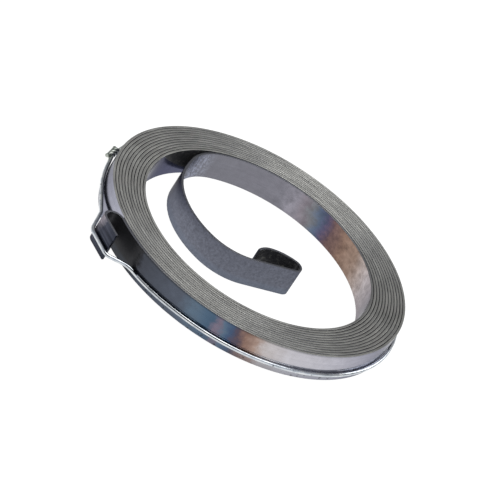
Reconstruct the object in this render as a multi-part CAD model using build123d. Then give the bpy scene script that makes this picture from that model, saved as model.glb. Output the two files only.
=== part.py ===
from build123d import *
import os
from math import acos, ceil, cos, degrees, floor, radians, sin, sqrt

# A flat spiral spring wound from one blued steel strip, as it is supplied: tied with a
# twisted wire so that it can't unwind. The strip's outer end is folded back into a hook,
# and its inner end leaves the turns, crosses the middle and is rolled into an eye.
#
# Frame: millimetres, +Z along the coil's axis, the origin on that axis at the level of
# the strip's lower edges. Angles are in degrees, counter-clockwise from +X, and the
# strip winds counter-clockwise from its hook inwards.

# Driving dimensions: the strip
STRIP_WIDTH = 7.0
STRIP_THICKNESS = 0.6

# Driving dimensions: the wound turns
COIL_RADIUS = 36.75       # to the outer face, where the outermost turn starts
HOOK_ANGLE = 224.2        # where the outermost turn starts
LEAVE_ANGLE = 128.3       # where the innermost turn lets go of the others
LAYERS = 12               # how often the strip passes that angle
TURN_GAP = 0.135          # clearance between one turn and the next

# Driving dimensions: the hook on the outer end
HOOK_GAP = 3.85           # clear width between the tab and the turn behind it
FOLD_ANGLE = 182.5        # how far the strip is folded back
HOOK_TAB = 5.6            # straight tab beyond the fold

# Driving dimensions: the free inner end, as radii and the angles that they sweep
SHOULDER_RADIUS = 12.8
SHOULDER_ANGLE = 45.4
REACH_RADIUS = 38.0
REACH_ANGLE = 8.1
BELLY_RADIUS = 20.3
BELLY_ANGLE = 67.3
THROAT_RADIUS = 11.8
THROAT_ANGLE = 55.0
NECK_LENGTH = 10.3        # straight, up to the eye
EYE_TIP_RADIUS = 1.95
EYE_TIP_ANGLE = 141.0
EYE_BACK_RADIUS = 9.8
EYE_BACK_ANGLE = 35.0
EYE_LIP_RADIUS = 4.8
EYE_LIP_ANGLE = 49.0

# Driving dimensions: the retaining wire. Its angles are counted from the hook.
WIRE_DIAMETER = 0.9
FLAT_COUNT = 12           # the wire's round section is drawn with this many flats
BEND_FLATNESS = 0.09      # how far the straight runs of a bend may stand outside it
WIRE_CLEARANCE = 0.05     # between the wire and the strip
CORNER_BEND = 1.2         # inner radius where the wire turns round the end of the tab
LIFT_BEND = 2.65          # inner radius where it lifts off the coil and lands on it
LIFT_BEFORE = 12.0        # where it bends out to pass round the hook
LIFT_STANDOFF = 0.9       # how far it stands off the coil at that bend
LAND_AFTER = 16.3         # where it lies on the coil again

# Driving dimensions: how high the wire's middle lies over the strip's lower edges
WIRE_HEIGHT = 2.05        # round most of the coil
LAND_HEIGHT = 1.7         # where it lies on the coil again
TAB_HEIGHT = 2.2          # on the hook's tab
TAB_AFTER = 6.0           # where that is, counted from the hook like the others
LIFT_HEIGHT = 2.5         # where it bends out to pass round the hook
KNOT_HEIGHT = 2.75        # at the knot
BACK_HEIGHT = 3.9         # at its highest, where it passes behind the coil
BACK_BEFORE = 56.0        # where that is
LEVEL_ANGLE = 26.0        # it has climbed back to its usual height this far past the landing
SINK_ANGLE = 150.0        # it has sunk back to it this far past its highest place

# Driving dimensions: the twisted knot that joins the wire's two ends
KNOT_BEFORE = 47.9
KNOT_STANDOFF = 0.25      # how far it stands off the line of the wire
KNOT_HALF_TURNS = 3       # an odd number, so that each end enters on the coil's side
KNOT_LAY = 2.9            # length of one full turn of the twist, in wire diameters
STRAND_CLEARANCE = 0.06   # between the two twisted ends
STEPS_PER_HALF_TURN = 4
TAIL_LENGTH = 0.35
TAIL_FLARE = 0.15         # how far each cut tail stands out

# Derived
HALF_THICKNESS = STRIP_THICKNESS / 2
TURN_PITCH = STRIP_THICKNESS + TURN_GAP
WIRE_RADIUS = WIRE_DIAMETER / 2
WIRE_STANDOFF = WIRE_CLEARANCE + WIRE_RADIUS
TWIST_RADIUS = WIRE_RADIUS + STRAND_CLEARANCE / 2
KNOT_LENGTH = KNOT_HALF_TURNS / 2 * KNOT_LAY * WIRE_DIAMETER
BACK_ANGLE = HOOK_ANGLE - BACK_BEFORE
KNOT_ANGLE = HOOK_ANGLE - KNOT_BEFORE
LIFT_ANGLE = HOOK_ANGLE - LIFT_BEFORE
TAB_ANGLE = HOOK_ANGLE + TAB_AFTER
LAND_ANGLE = HOOK_ANGLE + LAND_AFTER


def polar(radius, angle):
    """A point or vector in the XY plane."""
    return Vector(radius * cos(radians(angle)), radius * sin(radians(angle)))


def bearing(vector):
    """A plan vector's angle, from 0 up to 360."""
    return vector.get_signed_angle(Vector(1, 0), Vector(0, 0, -1)) % 360


# ---------------------------------------------------------------- the strip

def coil_arcs():
    """The turns' middle line: (centre, radius, start angle, end angle) of tangent arcs.

    Each arc runs to the next quarter. The four quarters have their centres on the
    corners of a square about the origin, a quarter of the pitch wide, so each arc's
    radius is smaller by that much and one turn winds in by one pitch.
    """
    step = TURN_PITCH / 4
    radius = COIL_RADIUS - HALF_THICKNESS
    angle = HOOK_ANGLE
    last = LEAVE_ANGLE + 360 * LAYERS
    arcs = []
    while angle < last:
        quarter = floor(angle / 90) * 90
        stop = min(quarter + 90, last)
        centre = polar(step / sqrt(2), quarter - 45)
        arcs.append((centre, radius, angle, stop))
        radius -= step
        angle = stop
    return arcs


def trace(start, heading, moves, side):
    """One face of the strip, `side` to the right of its middle line.

    `moves` are (size, turn): a bend of that radius through that angle, positive to the
    left, or a straight of that length where the angle is 0.
    """
    point = start + heading.rotate(Axis.Z, -90) * side
    edges = []
    for size, turn in moves:
        if turn == 0:
            edge = Line(point, point + heading * size)
        else:
            edge = JernArc(point, heading, size + side if turn > 0 else size - side, turn)
        edges.append(edge)
        point = edge @ 1
        heading = edge % 1
    return edges


def hook_moves():
    """From the start of the outermost turn out round the fold to the tab's cut end."""
    return [(HOOK_GAP / 2 + HALF_THICKNESS, FOLD_ANGLE), (HOOK_TAB, 0)]


def inner_moves():
    """From the innermost turn across the middle and round the eye to its cut end."""
    return [
        (SHOULDER_RADIUS, SHOULDER_ANGLE),
        (REACH_RADIUS, REACH_ANGLE),
        (BELLY_RADIUS, BELLY_ANGLE),
        (THROAT_RADIUS, THROAT_ANGLE),
        (NECK_LENGTH, 0),
        (EYE_TIP_RADIUS, EYE_TIP_ANGLE),
        (EYE_BACK_RADIUS, EYE_BACK_ANGLE),
        (EYE_LIP_RADIUS, EYE_LIP_ANGLE),
    ]


def spring_strip(arcs):
    """The whole strip as one flat profile, raised to the strip's width."""
    centre, radius, angle, _ = arcs[0]
    start = centre + polar(radius, angle)
    inwards = polar(1, angle + 90)
    winding = [(arc[1], arc[3] - arc[2]) for arc in arcs] + inner_moves()
    outline = []
    ends = []
    for side in (HALF_THICKNESS, -HALF_THICKNESS):
        hook = trace(start, -inwards, hook_moves(), -side)
        turns = trace(start, inwards, winding, side)
        outline += hook + turns
        ends.append((hook[-1] @ 1, turns[-1] @ 1))
    tab_cut = Line(ends[0][0], ends[1][0])
    eye_cut = Line(ends[0][1], ends[1][1])
    profile = make_face(outline + [tab_cut, eye_cut])
    return extrude(profile, amount=STRIP_WIDTH, dir=(0, 0, 1))


# ---------------------------------------------------------------- the retaining wire

def bend_corners(centre, radius, arrival, turned):
    """Corners of the short straight runs that carry the wire round a bend.

    The runs touch the bend's own circle, and their corners stand just outside it.
    """
    reach = abs(radius)
    widest = 2 * degrees(acos(reach / (reach + BEND_FLATNESS)))
    runs = ceil(turned / widest)
    half = turned / runs / 2
    side = 1 if radius > 0 else -1
    out = radius / cos(radians(half))
    return [centre + polar(out, arrival + side * half * (2 * run + 1)) for run in range(runs)]


def belt(circles):
    """Corners of a line laid tangent round circles in turn, from a point to a point.

    Each circle is (centre, radius), with a positive radius where the line turns to the
    left round it and a negative one where it turns to the right. The first and the last
    have no radius. A circle that the line would pass without touching is left out.
    """
    departures = []
    for (centre, radius), (next_centre, next_radius) in zip(circles, circles[1:]):
        between = next_centre - centre
        lean = min(1, (radius - next_radius) / between.length)
        departures.append(bearing(between) - degrees(acos(lean)))
    corners = []
    for index, (centre, radius) in enumerate(circles[1:-1], start=1):
        arrival = departures[index - 1]
        side = 1 if radius > 0 else -1
        turned = (side * (departures[index] - arrival)) % 360
        if turned > 180:
            return belt(circles[:index] + circles[index + 1:])
        corners += bend_corners(centre, radius, arrival, turned)
    return corners


def resting_circles(arcs, start, stop):
    """The circles that the wire follows where it lies on the outermost turn."""
    reach = HALF_THICKNESS + WIRE_STANDOFF
    return [(arc[0], arc[1] + reach) for arc in arcs if arc[3] > start and arc[2] < stop]


def lifting_circle(arcs, angle, standoff):
    """The bend that turns the wire away from the coil at an angle, or back on to it."""
    bend = LIFT_BEND + WIRE_RADIUS
    centre, reach = resting_circles(arcs, angle, angle)[0]
    return centre + polar(reach + standoff + bend, angle), -bend


def hook_circles(arcs):
    """The fold and the tab's end that the wire passes round on the outside."""
    centre, radius, angle, _ = arcs[0]
    start = centre + polar(radius, angle)
    fold, tab = trace(start, polar(1, angle - 90), hook_moves(), 0)
    outwards = polar(1, bearing(fold % 1) - 90)
    fold_radius = HOOK_GAP / 2 + STRIP_THICKNESS + WIRE_STANDOFF
    corner_radius = CORNER_BEND + WIRE_RADIUS
    corner = (tab @ 1) + outwards * (HALF_THICKNESS + WIRE_STANDOFF - corner_radius)
    return [(fold.arc_center, fold_radius), (corner, corner_radius)]


def raised(corner):
    """A plan corner of the wire, lifted to the height at which the wire passes it."""
    marks = [
        (BACK_ANGLE - SINK_ANGLE, WIRE_HEIGHT),
        (BACK_ANGLE, BACK_HEIGHT),
        (KNOT_ANGLE, KNOT_HEIGHT),
        (LIFT_ANGLE, LIFT_HEIGHT),
        (TAB_ANGLE, TAB_HEIGHT),
        (LAND_ANGLE, LAND_HEIGHT),
        (LAND_ANGLE + LEVEL_ANGLE, WIRE_HEIGHT),
    ]
    angle = bearing(corner)
    height = WIRE_HEIGHT
    for (start, low), (stop, high) in zip(marks, marks[1:]):
        if start <= angle < stop:
            height = low + (high - low) * (angle - start) / (stop - start)
    return Vector(corner.X, corner.Y, height)


def knot_plane(arcs):
    """The knot's own frame: X out from the coil, Z along the twist."""
    angle = KNOT_ANGLE
    centre, reach = resting_circles(arcs, angle + 360, angle + 360)[0]
    origin = centre + polar(reach + KNOT_STANDOFF + TWIST_RADIUS, angle)
    return Plane(origin, x_dir=polar(1, angle), z_dir=polar(1, angle + 90))


def strand_points(plane, phase):
    """Corners of one wire end, twisted along the knot's axis from one end to the other."""
    steps = KNOT_HALF_TURNS * STEPS_PER_HALF_TURN
    turn = 180 / STEPS_PER_HALF_TURN
    corner_radius = TWIST_RADIUS / cos(radians(turn / 2))
    points = []
    for step in range(steps + 1):
        corner = polar(corner_radius, phase + turn * step)
        along = KNOT_LENGTH * (step / steps - 0.5)
        points.append(plane.from_local_coords((corner.X, corner.Y, along)))
    return points


def tail_point(plane, end):
    """The cut end of a tail, standing out beyond the knot: end is -1 or 1."""
    along = end * (KNOT_LENGTH / 2 + TAIL_LENGTH)
    return plane.from_local_coords((TWIST_RADIUS + TAIL_FLARE, 0, along))


def retaining_wire(arcs):
    """One length of round wire: tail, twist, round hook and coil, twist and tail."""
    plane = knot_plane(arcs)
    first_strand = strand_points(plane, 0)
    last_strand = strand_points(plane, 180)
    circles = (
        [(first_strand[-1], 0)]
        + resting_circles(arcs, KNOT_ANGLE + 360, LIFT_ANGLE + 360)
        + [lifting_circle(arcs, LIFT_ANGLE + 360, LIFT_STANDOFF)]
        + hook_circles(arcs)
        + [lifting_circle(arcs, LAND_ANGLE, 0)]
        + resting_circles(arcs, LAND_ANGLE, KNOT_ANGLE + 360)
        + [(last_strand[0], 0)]
    )
    ring = [raised(corner) for corner in belt(circles)]
    lift = Vector(0, 0, KNOT_HEIGHT)
    first_end = [point + lift for point in [tail_point(plane, -1)] + first_strand]
    last_end = [point + lift for point in last_strand + [tail_point(plane, 1)]]
    path = Polyline(first_end + ring + last_end)
    section = Plane(path @ 0, z_dir=path % 0) * RegularPolygon(WIRE_RADIUS, FLAT_COUNT)
    return sweep(section, path=path, transition=Transition.RIGHT)


def main():
    os.makedirs("parts", exist_ok=True)
    arcs = coil_arcs()
    parts = {
        "spring_strip": spring_strip(arcs),
        "retaining_wire": retaining_wire(arcs),
    }
    for name, part in parts.items():
        part.label = name
        export_step(part, f"parts/{name}.step")
        print(name, "valid", part.is_valid, "volume", round(part.volume, 2), part.bounding_box())


main()
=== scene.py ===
"""Looks of a wound spiral spring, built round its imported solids.

The spring is one blued steel strip, wound tight, with its outer end folded into a hook
and its inner end rolled into an eye. A length of wire, twisted into a knot, ties it so
that it can't unwind. Sizes in the classes are in millimetres and angles in degrees, as
on a drawing: MM turns a size into the frame's metres.
"""

from __future__ import annotations

import logging
import math
from dataclasses import dataclass
from enum import Enum
from functools import partial
from typing import Any, Iterable

import bpy
from mathutils import Matrix, Vector

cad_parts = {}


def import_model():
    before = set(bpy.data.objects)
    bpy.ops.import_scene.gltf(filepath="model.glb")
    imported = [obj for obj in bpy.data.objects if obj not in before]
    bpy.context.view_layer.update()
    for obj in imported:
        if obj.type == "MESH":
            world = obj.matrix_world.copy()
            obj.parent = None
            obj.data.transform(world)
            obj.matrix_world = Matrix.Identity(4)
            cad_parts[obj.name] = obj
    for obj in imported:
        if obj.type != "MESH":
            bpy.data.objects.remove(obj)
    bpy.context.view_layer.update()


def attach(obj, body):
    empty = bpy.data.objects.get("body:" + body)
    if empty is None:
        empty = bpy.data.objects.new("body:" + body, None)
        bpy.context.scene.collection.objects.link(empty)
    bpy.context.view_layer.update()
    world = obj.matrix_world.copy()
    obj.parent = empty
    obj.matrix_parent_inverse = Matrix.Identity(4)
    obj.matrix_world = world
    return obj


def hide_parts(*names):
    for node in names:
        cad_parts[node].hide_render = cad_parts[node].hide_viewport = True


MM = 0.001

Feed = Any  # what goes into a node's input: a value, an output, or a node for its first output
Coat = tuple[Feed, Feed]  # a share from 0 to 1 and the colour that it lays

log = logging.getLogger("scene")


def linked(name: str, data: bpy.types.ID) -> bpy.types.Object:
    """Makes an object and links it to the scene.

    Args:
        name: the object's name.
        data: its mesh, light or camera.

    Returns:
        The object.
    """
    made = bpy.data.objects.new(name, data)
    bpy.context.scene.collection.objects.link(made)
    return made


# ------------------------------------------------------------------ node trees


def linear_colour(hex_code: str) -> tuple[float, float, float, float]:
    """Turns a colour as it is written on screen into the linear one that shaders take.

    Args:
        hex_code: an sRGB colour such as "8c8c88".

    Returns:
        Linear red, green and blue, and an alpha of 1.
    """
    channels = []
    for place in (0, 2, 4):
        value = int(hex_code[place : place + 2], 16) / 255
        low = value / 12.92
        high = ((value + 0.055) / 1.055) ** 2.4
        channels.append(low if value <= 0.04045 else high)
    return (*channels, 1.0)


def set_stops(ramp: bpy.types.Node, stops: Iterable[tuple[float, str]]) -> None:
    """Gives a colour ramp its colours.

    Args:
        ramp: the Color Ramp node.
        stops: places from 0 to 1, and the sRGB colours there.
    """
    elements = ramp.color_ramp.elements
    elements.remove(elements[1])
    for number, (place, hex_code) in enumerate(stops):
        element = elements[0] if number == 0 else elements.new(place)
        element.position = place
        element.color = linear_colour(hex_code)


def add_node(
    tree: bpy.types.NodeTree, kind: str, inputs: dict[Any, Feed] | tuple[Feed, ...] = (), **settings: Any
) -> bpy.types.Node:
    """Adds a node with its settings, its values and its links.

    Args:
        tree: the tree that the node goes into.
        kind: the node's type name, without ShaderNode in front.
        inputs: what goes into its inputs, in their order, or by their names or places.
        **settings: the node's own properties, and as stops a colour ramp's colours.

    Returns:
        The new node.
    """
    node = tree.nodes.new(kind if "Node" in kind else f"ShaderNode{kind}")
    if "stops" in settings:
        set_stops(node, settings.pop("stops"))
    for name, value in settings.items():
        setattr(node, name, value)
    for key, value in inputs.items() if isinstance(inputs, dict) else enumerate(inputs):
        if isinstance(value, bpy.types.Node):
            value = next(output for output in value.outputs if output.enabled)
        if isinstance(value, bpy.types.NodeSocket):
            tree.links.new(value, node.inputs[key])
        else:
            node.inputs[key].default_value = value
    return node


def new_material(name: str) -> tuple[bpy.types.Material, bpy.types.NodeTree]:
    """Makes an empty node material.

    Args:
        name: the material's name.

    Returns:
        The material and its emptied tree.
    """
    material = bpy.data.materials.new(name)
    material.use_nodes = True
    material.node_tree.nodes.clear()
    return material, material.node_tree


# ------------------------------------------------------------------ lines in plan


def polar(radius: float, angle: float) -> Vector:
    """Returns the plan vector of a length and an angle in degrees."""
    return Vector((radius * math.cos(math.radians(angle)), radius * math.sin(math.radians(angle)), 0.0))


def bearing(vector: Vector) -> float:
    """Returns a plan vector's angle, from 0 up to 360 degrees."""
    return math.degrees(math.atan2(vector.y, vector.x)) % 360


@dataclass(frozen=True)
class Run:
    """One move along a line: a straight of a length, or a bend of a radius.

    turn is the bend's angle, positive to the left, and 0 on a straight.
    """

    size: float
    turn: float = 0.0

    @property
    def length(self) -> float:
        """Returns how long the move is."""
        return self.size * math.radians(abs(self.turn)) if self.turn else self.size


def walk(start: Vector, heading: float, runs: Iterable[Run], step: float) -> list[Vector]:
    """Follows straights and bends from a point.

    Args:
        start: the first point.
        heading: the direction there.
        runs: the moves, each tangent to the one before.
        step: the largest angle between two points on a bend.

    Returns:
        The points passed, with the start and the end.
    """
    points = [start.copy()]
    for run in runs:
        here = points[-1]
        if not run.turn:
            points.append(here + polar(run.size, heading))
            continue
        side = math.copysign(1, run.turn)
        centre = here + polar(run.size, heading + 90 * side)
        count = math.ceil(abs(run.turn) / step)
        for number in range(1, count + 1):
            angle = heading - 90 * side + run.turn * number / count
            points.append(centre + polar(run.size, angle))
        heading += run.turn
    return points


# ------------------------------------------------------------------ swept pieces


class Face(Enum):
    """The attributes that a swept piece carries for its finish."""

    ALONG = "along_mm"  # millimetres from the line's start
    SIDE = "face_side"  # from -1 on the left face to 1 on the right one
    WINDING = "winding"  # angle of a wound point
    WOUND = "wound"  # whether the winding rule places the point
    TWISTED = "twisted"  # 1 where the wire's ends are twisted together


def line_object(name: str, points: list[Vector]) -> bpy.types.Object:
    """Makes an object that holds a line of points, for a tree to sweep.

    Args:
        name: the object's name.
        points: the line's points, in millimetres.

    Returns:
        The new object, linked to the scene.
    """
    mesh = bpy.data.meshes.new(name)
    edges = [(number, number + 1) for number in range(len(points) - 1)]
    mesh.from_pydata([point * MM for point in points], edges, [])
    return linked(name, mesh)


def new_tree(
    name: str, sizes: Iterable[str], others: dict[str, str]
) -> tuple[bpy.types.NodeTree, bpy.types.Node]:
    """Starts a Geometry Nodes tree with named inputs: the geometry, sizes and the material.

    Args:
        name: the tree's name.
        sizes: the names of the inputs that are lengths.
        others: the names of more inputs, each with the short form of its type.

    Returns:
        The tree and its Group Input node.
    """
    tree = bpy.data.node_groups.new(name, "GeometryNodeTree")
    kinds = {"Geometry": "Geometry", **dict.fromkeys(sizes, "Float"), **others, "Material": "Material"}
    for label, kind in kinds.items():
        tree.interface.new_socket(label, in_out="INPUT", socket_type=f"NodeSocket{kind}")
    tree.interface.new_socket("Geometry", in_out="OUTPUT", socket_type="NodeSocketGeometry")
    return tree, add_node(tree, "NodeGroupInput")


def finish_tree(tree: bpy.types.NodeTree, geometry: Feed, material: Feed) -> None:
    """Ends a tree with smooth shading, realized instances and the material.

    Args:
        tree: the tree to end.
        geometry: the finished geometry.
        material: the group's material input.
    """
    smooth = add_node(tree, "GeometryNodeSetShadeSmooth", {"Geometry": geometry, "Shade Smooth": True})
    real = add_node(tree, "GeometryNodeRealizeInstances", (smooth,))
    dressed = add_node(tree, "GeometryNodeSetMaterial", {"Geometry": real, "Material": material})
    add_node(tree, "NodeGroupOutput", (dressed,))


def store(tree: bpy.types.NodeTree, geometry: Feed, name: Face, value: Feed) -> bpy.types.Node:
    """Stores a number on each point, and returns the node that gives the geometry with it."""
    inputs = {"Geometry": geometry, "Name": name.value, "Value": value}
    return add_node(tree, "GeometryNodeStoreNamedAttribute", inputs, data_type="FLOAT", domain="POINT")


def store_along(tree: bpy.types.NodeTree, curve: Feed) -> bpy.types.Node:
    """Stores how many millimetres of the line lie before each point, and returns the node."""
    length = add_node(tree, "GeometryNodeSplineParameter").outputs["Length"]
    return store(tree, curve, Face.ALONG, add_node(tree, "Math", (length, 1 / MM), operation="MULTIPLY"))


def swept(
    line: bpy.types.Object, tree: bpy.types.NodeTree, sizes: dict[str, float], others: dict[str, Any]
) -> bpy.types.Object:
    """Runs a tree on a line object and keeps the result as its plain mesh.

    Args:
        line: the object that holds the line.
        tree: the Geometry Nodes tree.
        sizes: the tree's lengths by name, in millimetres.
        others: its other inputs by name.

    Returns:
        The same object, with the finished mesh and no modifier.
    """
    values = {label: size * MM for label, size in sizes.items()} | others
    modifier = line.modifiers.new(tree.name, "NODES")
    modifier.node_group = tree
    for item in tree.interface.items_tree:
        if item.item_type == "SOCKET" and item.in_out == "INPUT" and item.name in values:
            modifier[item.identifier] = values[item.name]
    weighted = line.modifiers.new("even_shading", "WEIGHTED_NORMAL")
    weighted.keep_sharp = True
    graph = bpy.context.evaluated_depsgraph_get()
    mesh = bpy.data.meshes.new_from_object(
        line.evaluated_get(graph), preserve_all_data_layers=True, depsgraph=graph
    )
    line.modifiers.clear()
    line.data = mesh
    mesh.name = line.name
    return line


# ------------------------------------------------------------------ finishes


class Pattern(Enum):
    """The patterns that break the strip's finish up.

    Each gives its cells to a millimetre along the strip and across it, its detail and its
    roughness. Where the first two are equal it has no direction.
    """

    GRAIN = (0.07, 2.6, 4.0, 0.65)  # rolling grain: really ten times finer, which can't show
    MARKS = (0.066, 1.1, 2.0, 0.6)  # streaks that the rolls leave
    SLIT = (0.12, 0.0, 3.0, 0.5)  # changes of shade along the slit edges
    RAGGED = (0.5, 0.5, 4.0, 0.6)  # the border of the scale
    GRIT = (1.3, 1.3, 4.0, 0.75)  # on the scale, about a millimetre wide
    HEAT = (0.3, 0.3, 6.0, 0.7)  # the wandering of the heat's front
    CLOUD = (0.6, 0.6, 5.0, 0.6)  # patches a few millimetres wide
    MOTTLE = (1.6, 1.6, 3.0, 0.75)  # on the free arm
    CHIPS = (1.1, 1.1, 3.0, 0.6)  # pits along the lower edge


@dataclass(frozen=True)
class Spot:
    """What the strip's finish reads at each spot of it."""

    tree: bpy.types.NodeTree
    along: Feed  # millimetres from the outer cut end
    past_arm: Feed  # millimetres past where the arm leaves the coil
    side: Feed  # from -1 on the face towards the middle to 1 on the outer one
    place: Feed  # object coordinates, in millimetres
    height: Feed  # millimetres above the lower edge
    level: dict[Pattern, Feed]  # each pattern's value, from 0 to 1

    @classmethod
    def on(cls, tree: bpy.types.NodeTree, arm: float) -> "Spot":
        """Adds the nodes that read a spot.

        Args:
            tree: the material's tree.
            arm: how far along the strip its arm leaves the coil.

        Returns:
            The spot's values.
        """
        add = partial(add_node, tree)
        names = (Face.ALONG, Face.SIDE)
        along, side = (add("Attribute", attribute_name=name.value).outputs["Fac"] for name in names)
        past_arm = add("Math", (along, arm), operation="SUBTRACT")
        metres = add("TexCoord").outputs["Object"]
        place = add("VectorMath", {0: metres, "Scale": 1 / MM}, operation="SCALE")
        height = add("SeparateXYZ", (place,)).outputs["Z"]
        unrolled = add("CombineXYZ", (along, height))
        level = {}
        for pattern in Pattern:
            lengthwise, across, detail, roughness = pattern.value
            ground = place if lengthwise == across else unrolled
            cells = add("VectorMath", (ground, (lengthwise, across, across)), operation="MULTIPLY")
            inputs = {"Vector": cells, "Scale": 1.0, "Detail": detail, "Roughness": roughness}
            level[pattern] = add("TexNoise", inputs)
        return cls(tree, along, past_arm, side, place, height, level)

    def share(self, *limits: tuple[Feed, Feed, Feed], strength: Feed = 1.0) -> Feed:
        """Finds where the spot keeps within soft limits.

        Args:
            *limits: for each, a value, where it lets nothing through, and where all.
            strength: what is let through where every limit is kept.

        Returns:
            The strength times the share that each limit lets through.
        """
        for value, nothing, everything in limits:
            part = add_node(self.tree, "MapRange", (value, nothing, everything))
            strength = add_node(self.tree, "Math", (strength, part), operation="MULTIPLY")
        return strength

    def coated(self, colour: Feed, *coats: Coat) -> Feed:
        """Lays coats over a colour.

        Args:
            colour: the colour underneath.
            *coats: the coats, from the lowest up.

        Returns:
            The colour that is seen.
        """
        for share, coat in coats:
            colour = add_node(self.tree, "Mix", {0: share, 6: colour, 7: coat}, data_type="RGBA")
        return colour


@dataclass(frozen=True)
class BluedStripSteel:
    """Cold-rolled spring steel strip, hardened, blued and annealed at its two ends.

    The bright rolled face has a thin oxide skin that reads lilac-white. Towards each
    annealed end it runs through the temper colours, straw brown, purple and blue, to
    the slate and black of scale. The slit edges are plain grey.
    """

    width: float  # of the strip
    arm: float  # millimetres from the outer cut end to where the last turn lets go
    length: float  # of the whole strip

    # Temper colours by the millimetres from the outer cut end, back from the arm, and along it.
    # In the outer table, the near black from 12.3 to 22.2 is partly scale and partly a painted
    # reflection and shadow of the hook's tab. In the inner table, the dark blue-grey from 110 on is
    # a painted shade and reflection of the arm on the coil's inner wall.
    OUTER_TINTS_AND_SHADE = (
        (0.0, "363943"), (5.0, "454853"), (7.2, "948e95"), (9.5, "847f86"), (12.3, "2b2b2f"),
        (22.2, "26262a"), (24.0, "44474f"), (35.0, "545a66"), (38.8, "5c6d7e"), (41.5, "50657a"),
        (43.0, "485e74"), (44.8, "776c7b"), (46.3, "5b6e82"), (48.0, "445773"), (49.4, "544a55"),
        (51.4, "866b60"), (53.8, "a28b80"), (56.4, "bcb6b6"), (62.0, "c1bfc5"), (84.0, "b0b0bc"),
        (90.0, "afb0bd"),
    )  # fmt: skip
    INNER_TINTS_AND_SHADE = (
        (0.0, "787880"), (17.0, "7c7b84"), (20.8, "918e98"), (23.4, "857e86"), (25.4, "75777c"),
        (27.8, "556379"), (29.8, "56506a"), (31.8, "6c5656"), (36.0, "846b5e"), (41.0, "937d70"),
        (45.0, "ad9f99"), (50.0, "bab2b3"), (60.0, "b8b2b6"), (90.0, "b9b7c3"), (110.0, "6a6c80"),
        (180.0, "62647a"),
    )  # fmt: skip
    ARM_TINTS = ((17.0, "4c4e57"), (22.0, "7c7f8b"), (30.0, "787b87"), (48.0, "676a75"))
    INNER_REACH = 360.0  # how far before the arm the inner tints take over, in a hidden turn
    # Where a painted sheen brightens the edges: the angle round the coil, how much, how closely.
    EDGE_SHEEN = ((78.0, 0.78, 5.0), (258.0, 0.45, 5.0), (195.0, 0.28, 3.0))
    SHEEN_BASE = 0.88  # their brightness elsewhere

    def build(self) -> bpy.types.Material:
        """Makes the material.

        Returns:
            The finished material.
        """
        material, tree = new_material("blued_cold_rolled_spring_steel")
        add = partial(add_node, tree)
        spot = Spot.on(tree, self.arm)
        # The scale coat also lays a painted shadow and reflection of the arm, and just past the hook's fold
        # it is partly a painted reflection and shadow of the tab.
        scale, black = self._scale_and_arm_shadow(spot)
        # The edges' grey carries a painted sheen in three stretches round the coil.
        edge, grey = self._edges(spot)
        colour = self._mottled(spot, spot.coated(self._temper_colour_and_shade(spot), (scale, black)))
        # The coats on the outermost face lay painted shade and a painted shadow and reflection of the wire.
        colour = spot.coated(colour, self._bloom(spot), *self._dirt_and_painted_shade(spot), (edge, grey))
        # The rolled face is smooth, scale and the annealed arm are duller, and slit edges are coarse.
        grain = spot.level[Pattern.GRAIN]
        smooth = add("MapRange", (grain, 0.3, 0.7, 0.1, 0.2))
        on_arm = spot.share((spot.past_arm, -4.0, 8.0))
        dull = add("Math", (scale, on_arm), operation="MAXIMUM")
        rough = add("Math", (dull, 0.2, smooth), operation="MULTIPLY_ADD")
        coarse = add("Math", (edge, 0.48), operation="MULTIPLY")
        rough = add("Math", (rough, coarse), operation="MAXIMUM")
        relief = spot.share((edge, 1.0, 0.0), strength=0.08)
        bump = add("Bump", {"Strength": relief, "Distance": 0.02 * MM, "Height": grain})
        oxide = spot.share((edge, 1.0, 0.0), strength=scale)
        metal = add("MapRange", (oxide, 0.0, 1.0, 0.88, 0.28))
        inputs = {"Base Color": colour, "Metallic": metal, "Roughness": rough, "Normal": bump}
        inputs["Specular Tint"] = linear_colour("a8a8ac")
        add("OutputMaterial", (add("BsdfPrincipled", inputs),))
        return material

    def _scale_and_arm_shadow(self, spot: Spot) -> Coat:
        """Finds the black annealing scale, with its grey grit, and a black patch of painted shadow and
        reflection of the arm.

        The scale lies in the hook's fold and past it, where it is even, and inside the eye. Just past the
        fold, on the outer face, its black is also partly a painted reflection and shadow of the hook's tab.
        The painted patch lies on the last turn's inner face next to the arm, above a curve that falls
        towards the arm.

        Args:
            spot: what is read at each spot.

        Returns:
            The coat.
        """
        add = partial(add_node, spot.tree)
        inside = (spot.side, 0.4, -0.2)
        ragged = add("Math", (spot.level[Pattern.RAGGED], 3.0, spot.along), operation="MULTIPLY_ADD")
        # On the outer face, which is the fold's inside, it starts earlier, on the tab.
        earlier = add("MapRange", (spot.side, -0.2, 0.4, 0.0, 14.0))
        begun = add("Math", (ragged, earlier), operation="ADD")
        fold = spot.share((begun, 12.5, 14.5), (ragged, 24.4, 23.2))
        eye = spot.share((ragged, self.length - 17.0, self.length - 14.5), inside)
        # From here: a painted shadow and reflection of the arm, as a black patch next to it on the last
        # turn's inner face.
        bend = spot.share((spot.past_arm, -175.0, -158.0))
        bend = add("Math", (bend, 2.0), operation="POWER")
        curve = add("MapRange", (bend, 0.0, 1.0, 1.0, self.width))
        over = add("Math", (spot.height, curve), operation="SUBTRACT")
        started = (spot.past_arm, -185.1, -185.0)
        painted_arm_shadow = spot.share((over, -0.15, 0.2), started, (spot.past_arm, -150.0, -157.0), inside)
        share = fold
        for place in (eye, painted_arm_shadow):
            share = add("Math", (share, place), operation="MAXIMUM")
        grit = add("MapRange", (spot.along, 40.0, 60.0, 0.46, spot.level[Pattern.GRIT]))
        stops = ((0.4, "3e3e41"), (0.55, "4b4b4d"), (0.7, "82827a"))
        return share, add("ValToRGB", (grit,), stops=stops)

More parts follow.
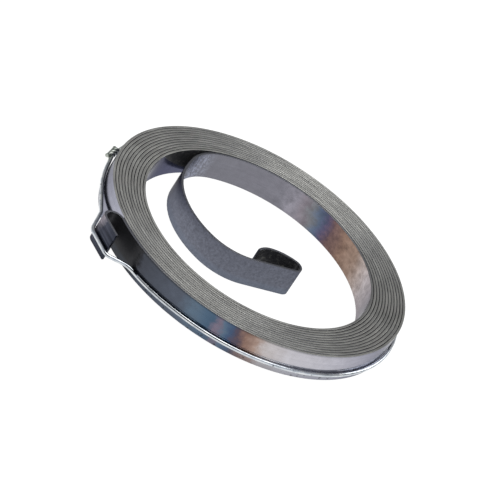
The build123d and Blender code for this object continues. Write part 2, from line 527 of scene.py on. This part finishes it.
    def _temper_colour_and_shade(self, spot: Spot) -> Feed:
        """Lays the temper colours by the distance from each annealed end, with the painted shade that the
        tables hold.

        The bands lean by the heat's own front, and wander by a millimetre or so.

        Args:
            spot: what is read at each spot.

        Returns:
            The colour of the strip's faces.
        """
        add = partial(add_node, spot.tree)
        wander = add("MapRange", (spot.level[Pattern.HEAT], 0.0, 1.0, -3.25, 3.25))
        lean = add("MapRange", (spot.height, 0.0, self.width, -0.6, 0.6))
        shift = add("Math", (wander, lean), operation="ADD")
        from_hook = add("Math", (spot.along, shift), operation="ADD")
        before_arm = add("Math", (shift, spot.past_arm), operation="SUBTRACT")
        bands = []
        distances = (from_hook, before_arm, spot.past_arm)
        # Besides the temper colours, the tables lay painted shade and reflection past the fold and on the
        # inner wall.
        for distance, tints in zip(distances, (self.OUTER_TINTS_AND_SHADE, self.INNER_TINTS_AND_SHADE, self.ARM_TINTS)):
            reach = tints[-1][0]
            part = add("Math", (distance, reach), operation="DIVIDE")
            stops = [(place / reach, tint) for place, tint in tints]
            bands.append(add("ValToRGB", (part,), stops=stops))
        near_arm = add("Math", (before_arm, self.INNER_REACH), operation="LESS_THAN")
        free = spot.share((spot.past_arm, 6.0, 15.0))
        return spot.coated(bands[0], (near_arm, bands[1]), (free, bands[2]))

    def _mottled(self, spot: Spot, colour: Feed) -> Feed:
        """Breaks the colour up: cloudy patches a few millimetres wide, and streaks.

        The streaks are the rolls' marks, which stand out most on the hook's tab. The free
        arm has a finer mottle, and the temper colours before it are blotched.

        Args:
            spot: what is read at each spot.
            colour: the colour so far.

        Returns:
            The broken colour.
        """
        add = partial(add_node, spot.tree)
        on_tab = spot.share((spot.along, 14.0, 6.0), strength=2.4)
        on_arm = spot.share((spot.past_arm, 2.0, 12.0), strength=1.2)
        heated = ((spot.past_arm, -60.0, -50.0), (spot.past_arm, -14.0, -24.0))
        strengths = (
            (Pattern.CLOUD, 0.36),
            (Pattern.CLOUD, spot.share(*heated, strength=1.1)),
            (Pattern.GRAIN, 0.24),
            (Pattern.MARKS, 0.2),
            (Pattern.MARKS, on_tab),
            (Pattern.MOTTLE, on_arm),
        )
        brightness: Feed = 1.0
        for pattern, strength in strengths:
            swing = add("Math", (spot.level[pattern], 0.5), operation="SUBTRACT")
            brightness = add("Math", (swing, strength, brightness), operation="MULTIPLY_ADD")
        return add("VectorMath", {0: colour, "Scale": brightness}, operation="SCALE")

    def _bloom(self, spot: Spot) -> Coat:
        """Finds the pale, patchy bloom inside the bend where the arm leaves the coil.

        Args:
            spot: what is read at each spot.

        Returns:
            The coat.
        """
        patches = add_node(spot.tree, "MapRange", (spot.level[Pattern.MOTTLE], 0.44, 0.58, 0.1, 0.85))
        begun = (spot.past_arm, 1.0, 7.0)
        ended = (spot.past_arm, 14.5, 11.0)
        return spot.share(begun, ended, (spot.side, 0.4, -0.2), strength=patches), linear_colour("b9bfd2")

    def _dirt_and_painted_shade(self, spot: Spot) -> tuple[Coat, Coat]:
        """Finds the dirt and the painted shade on the outermost face, and the blue-grey strip under the tie
        wire.

        It lays a painted shade along the upper corner near the hook, a painted shadow and reflection
        of the wire as a line over it between the knot and the hook, and pits along the lower edge, over
        an even darkening towards that edge.

        Args:
            spot: what is read at each spot.

        Returns:
            The two coats.
        """
        add = partial(add_node, spot.tree)
        outside = (spot.side, 0.2, 0.8)
        near_hook = (spot.along, 90.0, 58.0)
        # A painted shade along the upper corner near the hook.
        corner = spot.share((spot.height, self.width - 0.6, self.width - 0.15), near_hook, strength=0.6)
        # A painted shadow and reflection of the wire: a dark line over it, between the knot and the hook.
        wire = add("MapRange", (spot.along, 165.0, 200.0, 2.3, 3.2))
        above = add("Math", (spot.height, wire), operation="SUBTRACT")
        line = spot.share((above, 1.5, 0.4), (above, -0.4, 0.1), (spot.along, 165.0, 205.0), strength=0.75)
        # Dark pits along the lower edge, over an even darkening towards that edge.
        dots = spot.share((spot.level[Pattern.CHIPS], 0.6, 0.66), strength=0.85)
        dots = add("Math", (dots, 0.136), operation="MAXIMUM")
        dirt_and_shade = spot.share((spot.height, 1.3, 0.5), strength=dots)
        for part in (corner, line):
            dirt_and_shade = add("Math", (dirt_and_shade, part), operation="MAXIMUM")
        dirt_and_shade = spot.share(outside, (spot.along, 244.0, 238.0), strength=dirt_and_shade)
        under = spot.share((spot.height, 2.0, 1.2), outside, strength=0.3)
        return (under, linear_colour("6f7a8b")), (dirt_and_shade, linear_colour("242628"))

    def _edges(self, spot: Spot) -> Coat:
        """Finds the slit edges: plain grey steel, darker towards the annealed ends.

        Their faces point up or down, and a painted sheen brightens them in three stretches.

        Args:
            spot: what is read at each spot.

        Returns:
            The coat.
        """
        add = partial(add_node, spot.tree)
        stops = ((0.3, "81817e"), (0.5, "979793"), (0.7, "adada8"))
        grey = add("ValToRGB", (spot.level[Pattern.SLIT],), stops=stops)
        bright = spot.share((spot.along, 20.0, 52.0), (spot.past_arm, -20.0, -80.0))
        edge = spot.coated(linear_colour("606166"), (bright, grey))
        flat = add("VectorMath", (spot.place, (1.0, 1.0, 0.0)), operation="MULTIPLY")
        outward = add("VectorMath", (flat,), operation="NORMALIZE")
        # A painted sheen: brighter in three stretches, by the direction out from the coil's middle.
        sheen: Feed = self.SHEEN_BASE
        for angle, strength, power in self.EDGE_SHEEN:
            towards = add("VectorMath", (outward, polar(1.0, angle)), operation="DOT_PRODUCT")
            near = add("Math", (towards, 0.0), operation="MAXIMUM")
            near = add("Math", (near, power), operation="POWER")
            sheen = add("Math", (near, strength, sheen), operation="MULTIPLY_ADD")
        normal = add("NewGeometry").outputs["Normal"]
        upward = add("SeparateXYZ", (normal,)).outputs["Z"]
        steep = add("Math", (upward,), operation="ABSOLUTE")
        colour = add("VectorMath", {0: edge, "Scale": sheen}, operation="SCALE")
        return spot.share((steep, 0.25, 0.7)), colour


@dataclass(frozen=True)
class ZincPlatedWire:
    """Soft drawn steel wire with a bright zinc plating.

    The plating gives a clean, faintly blue shine, with dull greenish patches
    where it was twisted and dark specks where it is chipped.
    """

    BRIGHT = ((0.35, "b0b6bb"), (0.5, "c6cbd0"), (0.65, "d8dbdc"))
    DULL = ((0.35, "868d86"), (0.5, "a6aca4"), (0.65, "babdb6"))

    def build(self) -> bpy.types.Material:
        """Makes the material.

        Returns:
            The finished material.
        """
        material, tree = new_material("zinc_plated_drawn_wire")
        add = partial(add_node, tree)
        place = add("TexCoord").outputs["Object"]
        twisted = add("Attribute", attribute_name=Face.TWISTED.value).outputs["Fac"]
        patches = add("TexNoise", {"Vector": place, "Scale": 0.5 / MM, "Detail": 3.0})
        bright, dull = (add("ValToRGB", (patches,), stops=stops) for stops in (self.BRIGHT, self.DULL))
        plating = add("Mix", {0: twisted, 6: bright, 7: dull}, data_type="RGBA")
        specks = add("TexNoise", {"Vector": place, "Scale": 1.6 / MM, "Detail": 2.0})
        chipped = add("MapRange", (specks, 0.68, 0.74))
        colour = add("Mix", {0: chipped, 6: plating, 7: linear_colour("3a3a38")}, data_type="RGBA")
        rough = add("MapRange", (twisted, 0.0, 1.0, 0.13, 0.34))
        shader = add("BsdfPrincipled", {"Base Color": colour, "Metallic": 1.0, "Roughness": rough})
        add("OutputMaterial", (shader,))
        return material


@dataclass(frozen=True)
class StudioPaper:
    """A sheet of white background paper: matt, and bright enough to read as white.

    The camera and the metal see it lit up to white, and it keeps a faint shadow.
    """

    shade: str = "6c6c6c"
    glow: float = 0.97

    def build(self) -> bpy.types.Material:
        """Makes the material.

        Returns:
            The finished material.
        """
        material, tree = new_material("matt_white_background_paper")
        add = partial(add_node, tree)
        diffuse = add("BsdfDiffuse", {"Color": linear_colour(self.shade)})
        rays = add("LightPath").outputs
        seen = add("Math", (rays["Is Camera Ray"], rays["Is Glossy Ray"]), operation="ADD")
        seen = add("Math", (seen, rays["Is Transmission Ray"]), operation="ADD")
        strength = add("Math", (seen, self.glow), operation="MULTIPLY")
        glow = add("Emission", {"Color": (1.0, 1.0, 1.0, 1.0), "Strength": strength})
        both = add("AddShader", (diffuse, glow))
        add("OutputMaterial", (both,))
        return material


# ------------------------------------------------------------------ the strip


@dataclass
class SpringStrip:
    """The whole spring strip: hook, wound turns, free inner end and eye."""

    width: float = 7.0
    thickness: float = 0.6
    edge_radius: float = 0.1
    edge_waver: float = 0.08  # how far the upper edge dips here and there
    coil_radius: float = 36.75
    hook_angle: float = 224.2  # where round the coil the outermost turn starts
    leave_angle: float = 128.3  # where round the coil the innermost turn lets go
    layers: int = 12
    turn_gap: float = 0.135
    hook_gap: float = 3.85  # inside the fold
    fold_angle: float = 182.5
    hook_tab: float = 5.6  # length of the straight tab past the fold
    # The free arm, from where it leaves the coil, and its eye.
    inner_runs: tuple[Run, ...] = (
        Run(12.8, 45.4),
        Run(38.0, 8.1),
        Run(20.3, 67.3),
        Run(11.8, 55.0),
        Run(10.3),
        Run(1.95, 141.0),
        Run(9.8, 35.0),
        Run(4.8, 49.0),
    )
    wound_step: float = 2.0  # degrees between the points of the wound turns
    bend_step: float = 5.0  # the same on the hook and the inner end
    node: str = "spring_strip"

    @property
    def pitch(self) -> float:
        """Returns how far one turn winds in."""
        return self.thickness + self.turn_gap

    @property
    def middle_radius(self) -> float:
        """Returns the outermost turn's radius to the strip's middle line."""
        return self.coil_radius - self.thickness / 2

    @property
    def first_quarter(self) -> int:
        """Returns which quarter of the circle the outermost turn starts in."""
        return math.floor(self.hook_angle / 90)

    @property
    def last_angle(self) -> float:
        """Returns the winding angle where the innermost turn lets go."""
        return self.leave_angle + 360 * self.layers

    @property
    def hook_runs(self) -> tuple[Run, Run]:
        """Returns the fold and the tab, from the outermost turn outwards."""
        return Run((self.hook_gap + self.thickness) / 2, self.fold_angle), Run(self.hook_tab)

    def winding_centre(self, angle: float) -> Vector:
        """Returns the centre of the quarter arc that a winding angle lies on."""
        return polar(self.pitch / 4 * math.sqrt(0.5), math.floor(angle / 90) * 90 - 45)

    def winding_radius(self, angle: float) -> float:
        """Returns the radius of the quarter arc that a winding angle lies on."""
        return self.middle_radius - self.pitch / 4 * (math.floor(angle / 90) - self.first_quarter)

    def winding_point(self, angle: float) -> Vector:
        """Returns the middle line's point at a winding angle."""
        return self.winding_centre(angle) + polar(self.winding_radius(angle), angle)

    def wound_length(self) -> float:
        """Adds up the quarter arcs of the wound turns.

        Returns:
            Their length.
        """
        length = 0.0
        angle = self.hook_angle
        while angle < self.last_angle:
            stop = min(math.floor(angle / 90) * 90 + 90, self.last_angle)
            length += self.winding_radius(angle) * math.radians(stop - angle)
            angle = stop
        return length

    @property
    def tree_sizes(self) -> dict[str, float]:
        """Returns the sizes that the winding tree takes, in millimetres."""
        return {
            "Strip Width": self.width,
            "Strip Thickness": self.thickness,
            "Edge Radius": self.edge_radius,
            "Edge Waver": self.edge_waver,
            "Coil Radius": self.middle_radius,
            "Turn Pitch": self.pitch,
        }

    def winding_tree(self) -> bpy.types.NodeTree:
        """Builds the tree that winds the strip's middle line and sweeps its section.

        The wound points lie on quarter arcs, whose centres sit on the corners of a
        small square and whose radius falls by a quarter of the pitch each time.

        Returns:
            The tree.
        """
        tree, group = new_tree("strip_winding", self.tree_sizes, {"First Quarter": "Int"})
        size = group.outputs
        add = partial(add_node, tree)
        curve = add("GeometryNodeMeshToCurve", {"Mesh": self._wound_points(tree, group)})
        curve = store_along(tree, add("GeometryNodeSetCurveNormal", (curve,), mode="Z_UP"))
        section = add(
            "GeometryNodeCurvePrimitiveQuadrilateral",
            {"Width": size["Strip Thickness"], "Height": size["Strip Width"]},
            mode="RECTANGLE",
        )
        rounding = {"Curve": section, "Count": 4, "Radius": size["Edge Radius"]}
        section = add("GeometryNodeFilletCurve", rounding, mode="POLY")
        across = add("SeparateXYZ", (add("GeometryNodeInputPosition"),))
        half = add("Math", (size["Strip Thickness"], 0.5), operation="MULTIPLY")
        side = add("Math", (across, half), operation="DIVIDE")
        section = store(tree, section, Face.SIDE, side)
        body = add("GeometryNodeCurveToMesh", {"Curve": curve, "Profile Curve": section, "Fill Caps": True})
        finish_tree(tree, self._wavered(tree, group, body), size["Material"])
        return tree

    def _wound_points(self, tree: bpy.types.NodeTree, group: bpy.types.Node) -> bpy.types.Node:
        """Adds the winding rule: it places each wound point by its winding angle.

        Args:
            tree: the tree.
            group: its Group Input node.

        Returns:
            The node that gives the line with its wound points in place.
        """
        add = partial(add_node, tree)
        size = group.outputs
        angle = add("GeometryNodeInputNamedAttribute", (Face.WINDING.value,), data_type="FLOAT")
        chosen = add("GeometryNodeInputNamedAttribute", (Face.WOUND.value,), data_type="BOOLEAN")
        turned = add("Math", (angle, 90.0), operation="DIVIDE")
        quarter = add("Math", (turned,), operation="FLOOR")
        step = add("Math", (size["Turn Pitch"], 0.25), operation="MULTIPLY")
        passed = add("Math", (quarter, size["First Quarter"]), operation="SUBTRACT")
        lost = add("Math", (step, passed), operation="MULTIPLY")
        radius = add("Math", (size["Coil Radius"], lost), operation="SUBTRACT")
        corner = add("Math", (quarter, 90.0, -45.0), operation="MULTIPLY_ADD")
        off_centre = add("Math", (step, math.sqrt(0.5)), operation="MULTIPLY")
        point = Vector()
        for length, degrees in ((off_centre, corner), (radius, angle)):
            bearing_there = add("Math", (degrees,), operation="RADIANS")
            x = add("Math", (bearing_there,), operation="COSINE")
            y = add("Math", (bearing_there,), operation="SINE")
            way = add("CombineXYZ", (x, y))
            arm = add("VectorMath", {0: way, "Scale": length}, operation="SCALE")
            point = add("VectorMath", (point, arm), operation="ADD")
        placed = {"Geometry": size["Geometry"], "Selection": chosen, "Position": point}
        return add("GeometryNodeSetPosition", placed)

    def _wavered(self, tree: bpy.types.NodeTree, group: bpy.types.Node, body: Feed) -> bpy.types.Node:
        """Lifts the swept strip on to its lower edge and lets its upper edge dip unevenly.

        Args:
            tree: the tree.
            group: its Group Input node.
            body: the swept strip, with its middle at height 0.

        Returns:
            The node that gives the strip in place.
        """
        add = partial(add_node, tree)
        size = group.outputs
        half = add("Math", (size["Strip Width"], 0.5), operation="MULTIPLY")
        lift = add("CombineXYZ", {2: half})
        raised = {"Geometry": add("GeometryNodeSetPosition", {"Geometry": body, "Offset": lift})}
        along = add("GeometryNodeInputNamedAttribute", (Face.ALONG.value,), data_type="FLOAT")
        noise = add("TexNoise", {"W": along, "Scale": 0.05, "Detail": 2.0}, noise_dimensions="1D")
        dip = add("Math", (noise, size["Edge Waver"]), operation="MULTIPLY")
        down = add("VectorMath", {0: (0.0, 0.0, -1.0), "Scale": dip}, operation="SCALE")
        level = add("SeparateXYZ", (add("GeometryNodeInputPosition"),)).outputs["Z"]
        upper = add("Math", (level, half), operation="GREATER_THAN")
        return add("GeometryNodeSetPosition", {**raised, "Selection": upper, "Offset": down})

    def build(self) -> bpy.types.Object:
        """Builds the strip and dresses it.

        Returns:
            The strip's object.
        """
        start = self.winding_point(self.hook_angle)
        hook = walk(start, self.hook_angle - 90, self.hook_runs, self.bend_step)
        hook.reverse()
        end = self.winding_point(self.last_angle)
        inner = walk(end, self.leave_angle + 90, self.inner_runs, self.bend_step)
        count = math.ceil((self.last_angle - self.hook_angle) / self.wound_step)
        between = (self.last_angle - self.hook_angle) / count
        angles = [self.hook_angle + between * number for number in range(1, count)]
        line = line_object("wound_strip", hook + [Vector()] * len(angles) + inner)
        winding = line.data.attributes.new(Face.WINDING.value, "FLOAT", "POINT")
        wound = line.data.attributes.new(Face.WOUND.value, "BOOLEAN", "POINT")
        for number, angle in enumerate(angles, start=len(hook)):
            winding.data[number].value = angle
            wound.data[number].value = True
        arm = sum(run.length for run in self.hook_runs) + self.wound_length()
        finish = BluedStripSteel(self.width, arm, arm + sum(run.length for run in self.inner_runs))
        values = {"First Quarter": self.first_quarter, "Material": finish.build()}
        strip = swept(line, self.winding_tree(), self.tree_sizes, values)
        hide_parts(self.node)
        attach(strip, "root")
        return strip


# ------------------------------------------------------------------ the wire


@dataclass(frozen=True)
class Post:
    """A circle that the wire bends round, or a point that it goes through.

    radius is positive where the wire turns left round it, negative where it turns
    right, and 0 at a point.
    """

    centre: Vector
    radius: float = 0.0


def belt(posts: list[Post], step: float) -> list[Vector]:
    """Lays a line tangent round posts in turn, from a point to a point.

    A post that the line would pass without touching is left out.

    Args:
        posts: the posts, of which the first and the last are points.
        step: the largest angle between two points on a bend.

    Returns:
        The line's points between the two ends.
    """
    departures = []
    for post, after in zip(posts, posts[1:]):
        between = after.centre - post.centre
        lean = min(1.0, (post.radius - after.radius) / between.length)
        departures.append(bearing(between) - math.degrees(math.acos(lean)))
    points = []
    for number, post in enumerate(posts[1:-1], start=1):
        arrival = departures[number - 1]
        side = math.copysign(1, post.radius)
        turned = (side * (departures[number] - arrival)) % 360
        if turned > 180:
            return belt(posts[:number] + posts[number + 1 :], step)
        count = math.ceil(turned / step)
        for part in range(count + 1):
            angle = arrival + side * turned * part / count
            points.append(post.centre + polar(post.radius, angle))
    return points


@dataclass
class RetainingWire:
    """The wire tied round the coil and its hook, with its ends twisted together."""

    strip: SpringStrip
    diameter: float = 0.9
    sides: int = 24
    clearance: float = 0.035  # between the wire and the strip
    corner_bend: float = 1.2  # inner radius at the end of the hook's tab
    lift_bend: float = 2.65  # inner radius where the wire leaves the coil or comes back to it
    lift_standoff: float = 0.9  # how far it stands off the coil where it starts to leave
    knot_standoff: float = 0.25  # how much further off the coil the knot is than the wire
    # Degrees round the coil, before or after the hook.
    back_before: float = 56.0  # the wire is highest
    knot_before: float = 47.9
    lift_before: float = 12.0  # it leaves the coil
    tab_after: float = 6.0  # it lies over the tab
    land_after: float = 16.3  # it is back on the coil
    level_angle: float = 26.0  # from there to its usual height
    sink_angle: float = 150.0  # from its highest place to its usual height
    # Heights of the wire's middle over the strip's lower edges at those places.
    back_height: float = 3.9
    knot_height: float = 2.75
    lift_height: float = 2.5
    tab_height: float = 2.35
    land_height: float = 1.7
    usual_height: float = 2.05
    half_turns: int = 3
    lay: float = 2.9  # length of a whole turn of the twist, in wire diameters
    strand_clearance: float = 0.02
    tail_length: float = 0.35
    tail_flare: float = 0.15  # how far the cut ends stand out
    step: float = 3.0  # degrees between the points of a bend
    twist_step: float = 15.0
    node: str = "retaining_wire"

    @property
    def reach(self) -> float:
        """Returns how far the wire's middle stands off the strip's middle line."""
        return self.strip.thickness / 2 + self.clearance + self.diameter / 2

    @property
    def tree_sizes(self) -> dict[str, float]:
        """Returns the sizes that the sweeping tree takes, in millimetres."""
        return {"Wire Diameter": self.diameter}

    @property
    def twist_radius(self) -> float:
        """Returns how far each strand's middle lies from the knot's axis."""
        return (self.diameter + self.strand_clearance) / 2

    @property
    def knot_length(self) -> float:
        """Returns the length of the twist."""
        return self.half_turns / 2 * self.lay * self.diameter

    def resting_post(self, angle: float) -> Post:
        """Returns the circle that the wire follows on the outermost turn at an angle."""
        return Post(self.strip.winding_centre(angle), self.strip.winding_radius(angle) + self.reach)

    def resting_posts(self, start: float, stop: float) -> list[Post]:
        """Returns the wire's circles between two winding angles, one for each quarter."""
        quarters = range(math.floor(start / 90), math.floor(stop / 90) + 1)
        return [self.resting_post(max(quarter * 90.0, start)) for quarter in quarters]

    def lifting_post(self, angle: float, standoff: float = 0.0) -> Post:
        """Places the bend that turns the wire off the coil, or on to it.

        Args:
            angle: where on the coil it lies.
            standoff: how far the wire stands off the coil there.

        Returns:
            The bend.
        """
        bend = self.lift_bend + self.diameter / 2
        rest = self.resting_post(angle)
        return Post(rest.centre + polar(rest.radius + standoff + bend, angle), -bend)

    def hook_posts(self) -> list[Post]:
        """Places the bends round the hook.

        Returns:
            The posts at its fold and at the end of its tab.
        """
        strip = self.strip
        heading = strip.hook_angle - 90
        fold, tab = strip.hook_runs
        start = strip.winding_point(strip.hook_angle)
        tab_end = walk(start, heading, (fold, tab), strip.bend_step)[-1]
        outwards = polar(1, heading + fold.turn - 90)
        corner = self.corner_bend + self.diameter / 2
        fold_post = Post(start + polar(fold.size, heading + 90), fold.size + self.reach)
        return [fold_post, Post(tab_end + outwards * (self.reach - corner), corner)]

    def height(self, angle: float) -> float:
        """Tells how high the wire passes, with easy slopes between the known heights.

        Args:
            angle: the plan angle.

        Returns:
            The height of its middle over the strip's lower edges.
        """
        hook = self.strip.hook_angle
        marks = (
            (hook - self.back_before - self.sink_angle, self.usual_height),
            (hook - self.back_before, self.back_height),
            (hook - self.knot_before, self.knot_height),
            (hook - self.lift_before, self.lift_height),
            (hook + self.tab_after, self.tab_height),
            (hook + self.land_after, self.land_height),
            (hook + self.land_after + self.level_angle, self.usual_height),
        )
        for (start, low), (stop, high) in zip(marks, marks[1:]):
            if start <= angle < stop:
                share = (angle - start) / (stop - start)
                return low + (high - low) * share * share * (3 - 2 * share)
        return self.usual_height

    def knot_frame(self) -> Matrix:
        """Places the knot.

        Returns:
            Its own frame: X out from the coil, Z along the twist.
        """
        angle = self.strip.hook_angle - self.knot_before
        rest = self.resting_post(angle + 360)
        origin = rest.centre + polar(rest.radius + self.knot_standoff + self.twist_radius, angle)
        out, along = polar(1, angle), polar(1, angle + 90)
        frame = Matrix((out, along.cross(out), along)).transposed().to_4x4()
        return Matrix.Translation(origin) @ frame

    def strand(self, frame: Matrix, phase: float) -> list[Vector]:
        """Winds one wire end along the knot's axis.

        Args:
            frame: the knot's frame.
            phase: the strand's angle at the near end.

        Returns:
            The strand's points.
        """
        turned = 180 * self.half_turns
        count = math.ceil(turned / self.twist_step)
        points = []
        for number in range(count + 1):
            share = number / count
            spot = polar(self.twist_radius, phase + turned * share)
            spot.z = self.knot_length * (share - 0.5)
            points.append(frame @ spot)
        return points

    def tail(self, frame: Matrix, end: int) -> Vector:
        """Returns the cut end of a tail, of which end tells the near one (-1) from the far one (1)."""
        along = end * (self.knot_length / 2 + self.tail_length)
        return frame @ Vector((self.twist_radius + self.tail_flare, 0.0, along))

    def middle_line(self) -> list[Vector]:
        """Lays the wire's middle line: tail, twist, round hook and coil, twist and tail.

        Returns:
            The line's points.
        """
        strip = self.strip
        frame = self.knot_frame()
        first = self.strand(frame, 0)
        last = self.strand(frame, 180)
        knot = strip.hook_angle - self.knot_before
        lift = strip.hook_angle - self.lift_before
        land = strip.hook_angle + self.land_after
        posts = [Post(first[-1])]
        posts += self.resting_posts(knot + 360, lift + 360)
        posts += [self.lifting_post(lift + 360, self.lift_standoff)]
        posts += [*self.hook_posts(), self.lifting_post(land)]
        posts += self.resting_posts(land, knot + 360)
        posts += [Post(last[0])]
        ring = belt(posts, self.step)
        for point in ring:
            point.z = self.height(bearing(point))
        lift = Vector((0, 0, self.knot_height))
        first_end = [point + lift for point in (self.tail(frame, -1), *first)]
        last_end = [point + lift for point in (*last, self.tail(frame, 1))]
        return first_end + ring + last_end

    def sweeping_tree(self) -> bpy.types.NodeTree:
        """Builds the tree that sweeps the wire's round section along its line.

        Returns:
            The tree.
        """
        tree, group = new_tree("wire_sweep", self.tree_sizes, {"Sides": "Int"})
        size = group.outputs
        add = partial(add_node, tree)
        curve = store_along(tree, add("GeometryNodeMeshToCurve", {"Mesh": size["Geometry"]}))
        radius = add("Math", (size["Wire Diameter"], 0.5), operation="MULTIPLY")
        section = add("GeometryNodeCurvePrimitiveCircle", {"Resolution": size["Sides"], "Radius": radius})
        body = add("GeometryNodeCurveToMesh", {"Curve": curve, "Profile Curve": section, "Fill Caps": True})
        finish_tree(tree, body, size["Material"])
        return tree

    def build(self) -> bpy.types.Object:
        """Builds the wire and dresses it.

        Returns:
            The wire's object.
        """
        points = self.middle_line()
        line = line_object("tie_wire", points)
        twisted = line.data.attributes.new(Face.TWISTED.value, "FLOAT", "POINT")
        end_points = math.ceil(180 * self.half_turns / self.twist_step) + 2
        for number in (*range(end_points), *range(len(points) - end_points, len(points))):
            twisted.data[number].value = 1.0
        values = {"Sides": self.sides, "Material": ZincPlatedWire().build()}
        wire = swept(line, self.sweeping_tree(), self.tree_sizes, values)
        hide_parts(self.node)
        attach(wire, "root")
        return wire


# ------------------------------------------------------------------ the studio


@dataclass(frozen=True)
class SoftBox:
    """One square lamp, aimed at the origin: its place and size in metres, and its power."""

    name: str
    place: tuple[float, float, float]
    size: float
    power: float

    def build(self) -> None:
        """Makes the lamp."""
        light = bpy.data.lights.new(self.name, "AREA")
        light.size = self.size
        light.energy = self.power
        lamp = linked(self.name, light)
        lamp.location = self.place
        lamp.rotation_euler = Vector(self.place).to_track_quat("Z", "Y").to_euler()


@dataclass
class Studio:
    """A pale floor, soft light from above and a camera that looks down on the coil."""

    floor_size: float = 12.0
    floor_drop: float = 0.02  # millimetres below the coil, so that the faces don't meet
    camera_place: tuple[float, float, float] = (0.0, -0.6392, 0.3763)
    camera_yaw: float = -0.0392
    camera_pitch: float = 30.2881
    camera_roll: float = 33.5571
    lens: float = 243.99
    boxes: tuple[SoftBox, ...] = (
        SoftBox("overhead_box", (0.15, 0.1, 1.2), 0.9, 7.0),
        SoftBox("back_right_box", (0.9, 1.1, 0.8), 0.7, 5.0),
    )
    # The room's brightness by the height of the direction, from the horizon to straight up:
    # behind the coil, in front of it, and at the dark patch where the camera stands.
    BACK = ((0.0, "b0b0b4"), (0.3, "a4a4a8"), (0.55, "989898"), (0.85, "b0b0b4"), (1.0, "c8c8ca"))
    FRONT = ((0.0, "c8ccd6"), (0.5, "d6dae4"), (0.85, "d0d0d0"), (1.0, "c8c8ca"))
    DARK = (
        (0.0, "b4b8c4"), (0.25, "50525a"), (0.5, "44464c"),
        (0.68, "8a8a84"), (0.85, "b4b2a8"), (1.0, "c8c8ca"),
    )  # fmt: skip
    # The way to the middle of each, and the cosines to it between which it fades in.
    FRONT_WAY = ((0.0, -1.0, 0.0), -0.1, 0.15)
    DARK_WAY = ((-0.296, -0.814, 0.5), 0.7, 0.8)

    def build(self) -> None:
        """Sets up the floor, the world, the lamps, the camera and the view transform."""
        self.build_floor()
        self.build_world()
        for box in self.boxes:
            box.build()
        self.build_camera()
        bpy.context.scene.view_settings.view_transform = "Standard"

    def build_floor(self) -> None:
        """Lays the background paper."""
        half = self.floor_size / 2
        level = -self.floor_drop * MM
        mesh = bpy.data.meshes.new("floor_paper")
        corners = [(-half, -half, level), (half, -half, level), (half, half, level), (-half, half, level)]
        mesh.from_pydata(corners, [], [(0, 1, 2, 3)])
        mesh.materials.append(StudioPaper().build())
        linked("floor_paper", mesh)

    def build_world(self) -> None:
        """Surrounds the scene with a soft grey room, dark where the camera stands."""
        world = bpy.data.worlds.new("studio_room")
        world.use_nodes = True
        tree = world.node_tree
        tree.nodes.clear()
        add = partial(add_node, tree)
        direction = add("TexCoord").outputs["Generated"]
        height = add("SeparateXYZ", (direction,)).outputs["Z"]
        room = add("ValToRGB", (height,), stops=self.BACK)
        for stops, (way, nothing, everything) in ((self.FRONT, self.FRONT_WAY), (self.DARK, self.DARK_WAY)):
            shade = add("ValToRGB", (height,), stops=stops)
            towards = add("VectorMath", (direction, way), operation="DOT_PRODUCT")
            share = add("MapRange", (towards, nothing, everything))
            room = add("Mix", {0: share, 6: room, 7: shade}, data_type="RGBA")
        shader = add("Background", {"Color": room, "Strength": 1.0})
        add("OutputWorld", (shader,))
        bpy.context.scene.world = world

    def build_camera(self) -> None:
        """Places the camera, which is turned on its own axis as a hand-held one would be."""
        lens = bpy.data.cameras.new("studio_camera")
        lens.lens = self.lens
        lens.clip_start = 0.01
        lens.clip_end = 20.0
        camera = linked("studio_camera", lens)
        place = Matrix.Translation(self.camera_place)
        turns = ((-self.camera_yaw, "Z"), (90 - self.camera_pitch, "X"), (self.camera_roll, "Z"))
        for angle, axis in turns:
            place @= Matrix.Rotation(math.radians(angle), 4, axis)
        camera.matrix_world = place
        bpy.context.scene.camera = camera


def main() -> None:
    """Builds the studio and each piece in order, and reports them."""
    logging.basicConfig(level=logging.INFO, format="%(name)s: %(message)s")
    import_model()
    strip = SpringStrip()
    for piece in (strip.build(), RetainingWire(strip).build()):
        log.info("%s: %d faces, %d points", piece.name, len(piece.data.polygons), len(piece.data.vertices))
    Studio().build()


if __name__ == "__main__":
    main()
